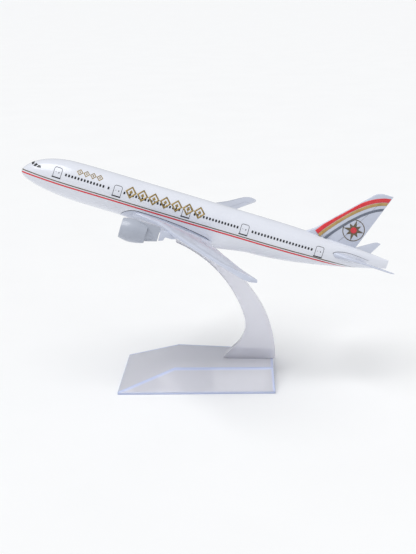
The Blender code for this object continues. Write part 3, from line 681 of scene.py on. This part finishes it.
def outline_on_hull(s, z, width, height, corner, line, sign):
    """A closed line of one width along a rounded rectangle."""
    rings = np.stack([densified(rounded_outline(width + grow, height + grow, corner + grow / 2, 6), 4)
                      for grow in (line, -line)])
    along = s + rings[..., 0]
    return sheet(hull_film(along, turn_at_height(along, z + rings[..., 1]), sign), closed=True)


def printed(name, shells, material, upward=False):
    """Films of ink as one piece, given a little thickness so that they are closed. They face away
    from the middle plane, or upwards."""
    points, faces = gather(shells)
    mesh = bpy.data.meshes.new(name)
    mesh.from_pydata(points.tolist(), [], faces)
    mesh.materials.append(material)
    mesh.shade_smooth()
    thing = bpy.data.objects.new(name, mesh)
    SCENE.collection.objects.link(thing)
    film = bmesh.new()
    film.from_mesh(mesh)
    for face in film.faces:
        away = face.normal.z if upward else face.normal.y * face.calc_center_median().y
        if away < 0.0:
            face.normal_flip()
    film.to_mesh(mesh)
    film.free()
    thickness = thing.modifiers.new("film", "SOLIDIFY")
    thickness.thickness = FILM * MM
    thickness.offset = -1.0
    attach(thing, "airliner")
    return thing


SIDES = (-1.0, 1.0)
red_line = ((0.55, -2.05), (1.5, -1.9), (4.5, -1.65), (9.0, -1.53), (14.0, -1.52), (22.0, -1.6),
            (42.0, -1.63), (57.0, -1.70), (74.0, -1.70), (92.0, -1.60), (109.0, -1.62), (127.0, -1.74),
            (143.2, -2.0))
bronze_line = ((0.4, -1.15), (1.2, -0.95), (4.3, -0.66), (13.4, -0.53), (22.0, -0.60), (42.0, -0.68),
               (57.0, -0.75), (83.0, -0.75), (109.0, -0.71), (127.0, -0.74), (136.0, -0.94), (147.0, -1.1))
for name, route, width, tones, gloss in (
        ("bronze_side_line", bronze_line, 0.42, ((0.10, 0.08, 0.04), (0.14, 0.11, 0.06)), (0.3, 0.4)),
        ("red_side_line", red_line, 0.60, ((0.66, 0.035, 0.05), (0.74, 0.05, 0.065)), (0.25, 0.35))):
    along = stations((route[0][0], 24.0, 60), (24.0, 104.0, 90), (104.0, route[-1][0], 50))
    centre = np.interp(along, *zip(*route))
    centre[2:-2] = np.convolve(centre, np.ones(5) / 5.0, "valid")
    half = width / 2 * (1.0 - 0.85 * smooth_step(along, route[-1][0] - 12.0, route[-1][0]))
    shells = [ribbon_on_hull(along, centre - half, centre + half, sign) for sign in SIDES]
    printed(name, shells, ink(name + "_ink", tones, gloss))

window_places = np.concatenate([np.linspace(19.39, 35.58, 13), [37.79, 44.70],
                                np.linspace(47.17, 93.91, 36), np.linspace(100.48, 126.48, 20)])
window_places = window_places[(window_places < 69.2) | (window_places > 74.2)]
window_heights = np.interp(window_places, (19.4, 35.6, 44.7, 47.2, 60.2, 93.9, 100.5, 112.5, 126.5),
                           (3.04, 2.95, 2.81, 2.70, 2.60, 2.59, 2.49, 2.43, 2.23))
shells = [rounded_patch(place, high, 0.76, 1.06, 0.24, sign) for sign in SIDES
          for place, high in zip(window_places, window_heights)]
window_ink = ink("window_ink", ((0.012, 0.013, 0.018), (0.022, 0.024, 0.03)), (0.12, 0.2))
printed("cabin_windows", shells, window_ink)

doors = ((15.75, 2.85, 4.1), (41.7, 2.66, 4.4), (71.7, 2.40, 4.25), (97.0, 2.32, 4.25), (129.9, 1.95, 4.5))
DOOR_WIDTH, SILL_WIDTH = 3.35, 3.9
frames, sills, glass = [], [], []
for sign in SIDES:
    for place, middle, tall in doors:
        frames.append(outline_on_hull(place, middle, DOOR_WIDTH, tall, 0.75, 0.2, sign))
        foot = middle - tall / 2 + 0.1
        sills.append(rounded_patch(place - 0.1, foot, SILL_WIDTH, 0.52, 0.2, sign, INK + 0.01))
        glass.append(rounded_patch(place + 0.55, middle + 0.2, 0.38, 0.62, 0.15, sign))
        glass.append(rounded_patch(place - 0.75, middle + 0.25, 0.34, 0.16, 0.07, sign))
for name, shells, ink_name, tones, gloss in (
        ("door_outlines", frames, "door_line_ink",
         ((0.045, 0.048, 0.06), (0.065, 0.068, 0.085)), (0.3, 0.4)),
        ("door_sills", sills, "door_sill_ink", ((0.02, 0.022, 0.03), (0.035, 0.038, 0.05)), (0.25, 0.35)),
        ("door_windows", glass, "door_window_ink", ((0.03, 0.03, 0.04), (0.05, 0.05, 0.06)), (0.15, 0.25))):
    printed(name, shells, ink(ink_name, tones, gloss))


def quad_on_hull(corners, sign, lift=INK):
    """A filled four-sided patch from its corners (station, turn in degrees), bilinear between them."""
    a, b, c, d = (np.array(corner, float) for corner in corners)
    u, v = np.linspace(0.0, 1.0, 7)[:, None, None], np.linspace(0.0, 1.0, 7)[None, :, None]
    grid = (1 - u) * (1 - v) * a + u * (1 - v) * b + u * v * c + (1 - u) * v * d
    return sheet(hull_film(grid[..., 0], np.radians(grid[..., 1]), sign, lift))


panes = (((3.3, 87.0), (4.1, 52.0), (4.9, 57.0), (4.5, 87.5)),
         ((4.75, 46.0), (5.75, 38.0), (6.6, 47.0), (5.75, 59.0)),
         ((6.25, 35.5), (8.15, 31.5), (8.0, 41.0), (7.05, 46.5)))
glazing_ink = ink("glazing_ink", ((0.012, 0.014, 0.02), (0.03, 0.033, 0.04)), (0.08, 0.14))
printed("cockpit_glazing", [quad_on_hull(pane, sign) for sign in SIDES for pane in panes], glazing_ink)


def lozenge_ring(middle, width, height, line, sign):
    """An open lozenge of one line width on the hull; middle is (station, arc height over the waist),
    and the arc height becomes a turn through the cabin's radius."""
    corner = np.array([(0.5, 0.0), (0.0, 0.5), (-0.5, 0.0), (0.0, -0.5)]) * np.array([width, height])
    rings = np.stack([densified(corner * grow, 8) for grow in (1.0, 1.0 - 2.2 * line / min(width, height))])
    turn = (middle[1] + rings[..., 1]) / CABIN_RADIUS
    return sheet(hull_film(middle[0] + rings[..., 0], turn, sign, INK + FILM), closed=True)


def lozenge(middle, width, height, sign):
    corner = [(middle[0] + a * width / 2, math.degrees((middle[1] + b * height / 2) / CABIN_RADIUS))
              for a, b in ((1, 0), (0, 1), (-1, 0), (0, -1))]
    return quad_on_hull(corner, sign, INK + FILM)


rows = ((7, 47.3, 4.95, 3.95, (4.9, 5.6, 0.75), (1.5, 1.9)),
        (4, 24.6, 2.85, 6.2, (2.8, 3.2, 0.42), (0.8, 1.0)))
gold_shells = []
for sign in SIDES:
    for count, first, pitch, high, ring_size, core_size in rows:
        for number in range(count):
            middle = (first + pitch * number, high)
            gold_shells.append(lozenge_ring(middle, *ring_size, sign))
            gold_shells.append(lozenge(middle, *core_size, sign))
gold_ink = ink("gold_ink", ((0.27, 0.18, 0.055), (0.40, 0.28, 0.09)), (0.3, 0.4), even={"Metallic": 0.5})
printed("gold_ornament", gold_shells, gold_ink)


def widened(path, width):
    """A line of (along, up) pairs as two, each half the width away along the line's normal."""
    step = np.gradient(path, axis=0)
    normal = np.stack([-step[:, 1], step[:, 0]], axis=-1) / np.linalg.norm(step, axis=1, keepdims=True)
    away = normal * width / 2
    return np.stack([path + away, path - away], axis=1)


root_line = np.array([(143.0, 1.85), (139.2, 1.95), (137.2, 2.1), (136.2, 2.4), (135.75, 2.95),
                      (136.1, 3.45), (137.3, 3.95), (140.6, 4.6), (145.1, 4.5), (151.7, 3.6)])
for _ in range(3):
    quarter = root_line[:-1] * 0.75 + root_line[1:] * 0.25
    three_quarter = root_line[:-1] * 0.25 + root_line[1:] * 0.75
    cut = np.stack([quarter, three_quarter], axis=1).reshape(-1, 2)
    root_line = np.concatenate([root_line[:1], cut, root_line[-1:]])
taper = 0.24 * (1.0 - 0.75 * np.linspace(0.0, 1.0, len(root_line))[:, None] ** 4)
grid = widened(root_line, taper)
turns = turn_at_height(grid[..., 0], grid[..., 1])
root_line_ink = ink("root_line_ink", ((0.15, 0.155, 0.18), (0.19, 0.195, 0.22)), (0.3, 0.4))
shells = [sheet(hull_film(grid[..., 0], turns, sign)) for sign in SIDES]
printed("stabiliser_root_lines", shells, root_line_ink)


# === Printing on the fin =========================================================================
# Pad-printed films again: three plain bands that sweep back under the tip, a compass rose in bronze
# and red, and the fine line of the rudder's hinge. Both sides carry the same print.
fin_foot, fin_span = FIN[0][2], FIN[1][2] - FIN[0][2]


def fin_film(s, z, sign, lift=INK):
    """Points just off the side of the fin at station s and height z, a little further off near the
    root, where the bands run out onto the fuselage."""
    share = (z - fin_foot) / fin_span
    leading, trailing = tail_edges(share, *FIN, *FIN_BEND)
    t = np.clip((s - leading) / (trailing - leading), 0.0, 1.0)
    swell = 1.0 + np.clip(1.0 - share / FIN_BEND[1], 0.0, 1.0) ** 2
    return np.stack([s, sign * (tail_half(t, leading, trailing) * swell + lift), z], axis=-1)


def fin_band(offset, width, sign, rows=5, count=90):
    """A band of one width beside a quadratic curve, cut off along the fin's two edges."""
    u = np.linspace(-0.30, 1.15, count)[:, None]
    a, b, c = (np.array(corner) for corner in ((133.6, 17.6), (144.6, 30.2), (153.0, 30.3)))
    path = (1 - u) ** 2 * a + 2 * u * (1 - u) * b + u ** 2 * c
    step = np.gradient(path, axis=0)
    normal = np.stack([step[:, 1], -step[:, 0]], axis=-1) / np.linalg.norm(step, axis=1, keepdims=True)
    across = offset + width * np.linspace(-0.5, 0.5, rows)
    grid = path[:, None] + normal[:, None] * across[None, :, None]
    leading, trailing = tail_edges((grid[..., 1] - fin_foot) / fin_span, *FIN, *FIN_BEND)
    s = np.clip(grid[..., 0], leading + 0.3, trailing - 0.2)
    faces = grid_faces(count, rows)
    flat = (s != grid[..., 0]).reshape(-1)
    faces = faces[~flat[faces].all(axis=1)]
    return on_stand(fin_film(s, grid[..., 1], sign)).reshape(-1, 3), faces.tolist()


def fin_fan(middle, outline, sign, lift, rings=(0.03, 0.35, 0.7, 1.0)):
    """A filled outline on the fin's side, as rings that grow from its middle."""
    spread = np.stack([outline * ring for ring in rings]) + np.array(middle)
    return filled(fin_film(spread[..., 0], spread[..., 1], sign, lift))


def fin_circle(radius, count=48):
    angle = np.arange(count) * 2.0 * math.pi / count
    return radius * np.stack([np.cos(angle), np.sin(angle)], axis=-1)


for name, offset, width, tones in (
        ("fin_band_red", 0.0, 1.75, ((0.64, 0.03, 0.04), (0.72, 0.045, 0.055))),
        ("fin_band_gold", 1.65, 1.3, ((0.42, 0.27, 0.09), (0.50, 0.33, 0.12))),
        ("fin_band_slate", 4.15, 1.1, ((0.13, 0.15, 0.20), (0.17, 0.19, 0.25)))):
    band_ink = ink(name + "_ink", tones, (0.22, 0.32))
    printed(name, [fin_band(offset, width, sign) for sign in SIDES], band_ink)

ROSE = (141.6, 14.0)
HINGE_CHORD = 0.64
point_turn = math.pi / 8
star = densified(np.array([(radius * math.cos(number * point_turn), radius * math.sin(number * point_turn))
                           for number, radius in enumerate((4.5, 1.9, 3.5, 1.9) * 4)]), 4)
rim = np.stack([fin_circle(4.75, 96), fin_circle(4.4, 96)]) + np.array(ROSE)
share = np.linspace(0.08, 0.93, 30)
leading, trailing = tail_edges(share, *FIN, *FIN_BEND)
hinge = np.stack([leading + HINGE_CHORD * (trailing - leading), fin_foot + share * fin_span], axis=-1)
hinge = widened(hinge, 0.13)
bronze_ink = ink("rose_bronze_ink", ((0.10, 0.075, 0.04), (0.17, 0.13, 0.075)), (0.3, 0.4))
heart_ink = ink("rose_red_ink", ((0.62, 0.03, 0.045), (0.70, 0.045, 0.06)), (0.25, 0.35))
hinge_ink = ink("hinge_ink", ((0.26, 0.28, 0.33), (0.30, 0.32, 0.37)), (0.35, 0.45))
printed("fin_rose", [fin_fan(ROSE, star, sign, INK + FILM) for sign in SIDES], bronze_ink)
printed("fin_rose_rim", [sheet(fin_film(rim[..., 0], rim[..., 1], sign), closed=True) for sign in SIDES],
        bronze_ink)
printed("fin_rose_heart", [fin_fan(ROSE, fin_circle(1.35), sign, INK + 0.05) for sign in SIDES], heart_ink)
printed("rudder_hinge_line", [sheet(fin_film(hinge[..., 0], hinge[..., 1], sign, FILM)) for sign in SIDES],
        hinge_ink)


# === Lines on the wings ==========================================================================
# Fine darker lines in the paint where the casting has shallow panel grooves: flaps, slats, a few
# chordwise joints and a row of short dashes over the spar.
def wing_film(y, t, sign, lift=0.03):
    """Points just above the wing at span y and chord share t."""
    leading, trailing = wing_edges(y)
    return np.stack([leading + t * (trailing - leading), sign * y, wing_surface(y, t, 1.0) + lift], axis=-1)


def wing_line(start, end, width, sign, count=40):
    """A straight line between two (span, chord share) points; its width is laid across it."""
    share = np.linspace(0.0, 1.0, count)
    y = start[0] + (end[0] - start[0]) * share
    t = start[1] + (end[1] - start[1]) * share
    leading, trailing = wing_edges(y)
    spanwise = abs(end[0] - start[0]) > 1.0
    half_y, half_t = (0.0, width / 2 / (trailing - leading)) if spanwise else (width / 2, 0.0)
    grid_y = np.stack([y - half_y, y + half_y], axis=1)
    grid_t = np.stack([t - half_t, t + half_t], axis=1)
    return sheet(wing_film(grid_y, grid_t, sign))


shells = []
for sign in SIDES:
    for start, end, width in (((9.0, 0.76), (47.0, 0.74), 0.16), ((49.0, 0.73), (66.0, 0.71), 0.14),
                              ((15.0, 0.13), (70.0, 0.15), 0.12)):
        shells.append(wing_line(start, end, width, sign))
    for y, first, last in ((27.9, 0.75, 0.99), (48.0, 0.73, 0.99), (66.5, 0.71, 0.99), (30.0, 0.02, 0.14),
                           (50.0, 0.02, 0.15)):
        shells.append(wing_line((y, first), (y, last), 0.14, sign, 12))
    for y in np.arange(11.0, 40.0, 2.4):
        shells.append(wing_line((y, 0.52 - 0.001 * y), (y + 1.1, 0.52 - 0.001 * y), 0.16, sign, 4))
panel_ink = ink("panel_line_ink", ((0.33, 0.36, 0.43), (0.37, 0.40, 0.47)), (0.3, 0.4))
printed("wing_panel_lines", shells, panel_ink, upward=True)


# === Stand arm ===================================================================================
# Clear moulded acrylic, a curved plate 3.2 mm thick: the tongue at the top plugs into the belly and
# the tab at the foot into the base. All its edges are slightly rounded by the mould.
STAND_X = -5.396
arm_acrylic = finish("arm_acrylic", ((0.86, 0.86, 0.925), (0.88, 0.88, 0.94)), 30.0, (0.03, 0.07),
                     even={"Transmission Weight": 0.6, "IOR": 1.3})
THICKNESS = 3.2
ARM_SEAT, TONGUE_TOP = BELLY - 0.3, BELLY + 3.7
DECK = ((-9.5, 16.4, 8.6), (32.4, 13.0, 7.3))


def arc(centre, radius, start, end, count):
    """Points on a circle in the side view, angles in degrees from the tail."""
    angle = np.radians(np.linspace(start, end, count))
    return np.stack([centre[0] + radius * np.cos(angle), centre[1] + radius * np.sin(angle)], axis=-1)


def side_view(station, height):
    """A point of the airliner's side view, in the stand's own side view."""
    spot = on_stand(np.array([station, 0.0, height])) / MM
    return spot[0] - STAND_X, spot[2]


def foot_at(x):
    """A point of the arm's foot, 0.3 mm above the sloping deck of the base."""
    (ridge_x, _, ridge_top), (rear_x, _, rear_top) = DECK
    return x, ridge_top + (rear_top - ridge_top) * (x - ridge_x) / (rear_x - ridge_x) + 0.3


outline = np.concatenate([
    [side_view(70.4, ARM_SEAT - 0.5), side_view(70.9, ARM_SEAT), side_view(72.5, ARM_SEAT),
     side_view(72.5, TONGUE_TOP), side_view(79.5, TONGUE_TOP), side_view(79.5, ARM_SEAT),
     side_view(83.5, ARM_SEAT), side_view(84.2, ARM_SEAT - 0.7)],
    arc((-45.6, -4.2), 81.3, 48.5, 36.5, 16), arc((-15.3, 9.24), 48.7, 36.0, -0.6, 40),
    [foot_at(33.3), foot_at(30.0), (30.0, 3.0), (12.5, 3.0), foot_at(12.5), foot_at(10.8)],
    arc((7.8, 23.5), 12.87, -52.0, 16.0, 26), arc((-29.9, 12.3), 52.2, 17.0, 65.5, 48)])
near = np.stack([outline[:, 0] + STAND_X, 0.0 * outline[:, 0] - THICKNESS / 2, outline[:, 1]], axis=-1) * MM
far = near * np.array([1.0, -1.0, 1.0])
arm = piece("stand_arm_plate", *tube(np.stack([near, far])), arm_acrylic, "arm", "clear_plastic")


def round_edges(thing, width, sharper_than):
    """The mould's small radius along every edge that turns by more than an angle in degrees."""
    edge_round = thing.modifiers.new("mould_radius", "BEVEL")
    edge_round.width = width * MM
    edge_round.segments = 3
    edge_round.limit_method = "ANGLE"
    edge_round.angle_limit = math.radians(sharper_than)


round_edges(arm, 0.3, 30.0)
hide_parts("stand_arm")


# === Stand base ==================================================================================
# Clear moulded acrylic, hollow below: a ramp, a flat top with the pocket for the arm's tab, sloping
# sides and a narrow rim that stands on the desk.
def wedge(half_length, half_width, lip, inset, bottom):
    """Corner points of a wedge: a bottom outline, the same one at the lip and the smaller deck."""
    ring = np.array([(-1, -1), (1, -1), (1, 1), (-1, 1)]) * np.array([half_length, half_width])
    flat = [np.column_stack([ring, np.full(4, z)]) for z in (bottom, lip)]
    (ridge_x, ridge_half, ridge_top), (rear_x, rear_half, rear_top) = DECK
    front = (ridge_x + 0.5 * inset, ridge_half - 0.9 * inset, ridge_top - inset)
    rear = (rear_x - inset, rear_half - 0.9 * inset, rear_top - inset)
    deck = [(x, side * half, z) for side, (x, half, z) in ((-1, front), (-1, rear), (1, rear), (1, front))]
    return np.concatenate([*flat, np.array(deck)])


def wedge_sides(first):
    """Faces between the three rings of a wedge whose corners start at one number, and its deck."""
    return (grid_faces(3, 4, closed=True) + first).tolist() + [list(range(first + 8, first + 12))]


base_acrylic = finish("base_acrylic", ((0.905, 0.905, 0.965), (0.92, 0.92, 0.975)), 30.0, (0.03, 0.07),
                      even={"IOR": 1.3})
# Transmission of the clear acrylic, and the lower one where refraction is painted in near the base's edges.
CLEAR, EDGE_REFRACTION_TRANSMISSION = 0.48, 0.25


def paint_edge_refraction(material, edges, reach, refraction_tint):
    """Painted refraction on clear acrylic: the distance to the nearest of several straight edges
    (cross product with a unit vector along each) turns clear into a darker blue tint with less
    transmission within the reach, painted in for the light and shade that the real edges refract."""
    tree = material.node_tree
    shader = tree.nodes["Principled BSDF"]
    place = tree.nodes.new("ShaderNodeTexCoord").outputs["Object"]

    def worked(kind, operation, first, second):
        node = tree.nodes.new(kind)
        node.operation = operation
        tree.links.new(first, node.inputs[0])
        if isinstance(second, Vector):
            node.inputs[1].default_value = second
        elif second is not None:
            tree.links.new(second, node.inputs[1])
        return node.outputs["Value" if operation in ("LENGTH", "MINIMUM") else "Vector"]

    nearest = None
    for start, end in edges:
        start, end = Vector(start) * MM, Vector(end) * MM
        away = worked("ShaderNodeVectorMath", "SUBTRACT", place, start)
        moment = worked("ShaderNodeVectorMath", "CROSS_PRODUCT", away, (end - start).normalized())
        size = worked("ShaderNodeVectorMath", "LENGTH", moment, None)
        nearest = size if nearest is None else worked("ShaderNodeMath", "MINIMUM", nearest, size)
    edge_refraction_mask = tree.nodes.new("ShaderNodeMapRange")
    edge_refraction_mask.interpolation_type = "SMOOTHSTEP"
    edge_refraction_mask.inputs["From Min"].default_value = reach[0] * MM
    edge_refraction_mask.inputs["From Max"].default_value = reach[1] * MM
    edge_refraction_mask.inputs["To Min"].default_value = 1.0
    edge_refraction_mask.inputs["To Max"].default_value = 0.0
    tree.links.new(nearest, edge_refraction_mask.inputs["Value"])
    colour = tree.nodes.new("ShaderNodeMix")
    colour.data_type = "RGBA"
    colour.inputs[7].default_value = (*refraction_tint, 1.0)
    tree.links.new(edge_refraction_mask.outputs["Result"], colour.inputs[0])
    tree.links.new(shader.inputs["Base Color"].links[0].from_socket, colour.inputs[6])
    tree.links.new(colour.outputs[2], shader.inputs["Base Color"])
    clear = tree.nodes.new("ShaderNodeMapRange")
    clear.inputs["To Min"].default_value = CLEAR
    clear.inputs["To Max"].default_value = EDGE_REFRACTION_TRANSMISSION
    tree.links.new(edge_refraction_mask.outputs["Result"], clear.inputs["Value"])
    tree.links.new(clear.outputs["Result"], shader.inputs["Transmission Weight"])


outer_points = wedge(33.1, 25.0, 1.0, 0.0, 0.0)
inner_points = wedge(29.1, 21.0, 0.3, 2.0, 0.0)
rim = [[k, (k + 1) % 4, 12 + (k + 1) % 4, 12 + k] for k in range(4)]
points = (np.concatenate([outer_points, inner_points]) + np.array([STAND_X, 0.0, 0.0])) * MM
corners = [tuple(corner) for corner in outer_points + np.array([STAND_X, 0.0, 0.0])]
deck_edges = [(corners[8 + k], corners[9 + k]) for k in range(3)]
upright_edges = [(corners[4 + k], corners[8 + k]) for k in range(4)]
foot_edges = [(corners[k], corners[(k + 1) % 4]) for k in range(4)]
# Painted refraction along the base's edges: a darker blue tint with less transmission, standing in for the
# light and shade that the real acrylic's edges refract.
paint_edge_refraction(base_acrylic, deck_edges + upright_edges + foot_edges, (0.4, 1.5), (0.62, 0.69, 0.93))
wedge_faces = wedge_sides(0) + wedge_sides(12) + rim
base = piece("stand_base_shell", points, wedge_faces, base_acrylic, "base", "clear_plastic")


def in_stand(shell):
    return (shell[0] + np.array([STAND_X, 0.0, 0.0])) * MM, shell[1]


carve(base, [in_stand(block((10.9, -3.2, 1.4), (31.6, 3.2, 6.3)))], "UNION")
carve(base, [in_stand(block((12.2, -1.9, 2.7), (30.3, 1.9, 9.3)))])
base.data.shade_smooth()
base.data.set_sharp_from_angle(angle=math.radians(30.0))
round_edges(base, 0.25, 20.0)
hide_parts("stand_base")


# === Belly screws ================================================================================
# Two plated steel screws with a cross recess, sunk in the belly, that hold the wing casting to the
# fuselage halves. Their shapes are right as they are and only take their finish.
screw_steel = finish("screw_steel", ((0.42, 0.42, 0.44), (0.55, 0.55, 0.57)), 0.8, (0.25, 0.4),
                     even={"Metallic": 1.0})
for name in ("belly_screw_front", "belly_screw_rear"):
    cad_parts[name].data.materials.clear()
    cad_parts[name].data.materials.append(screw_steel)
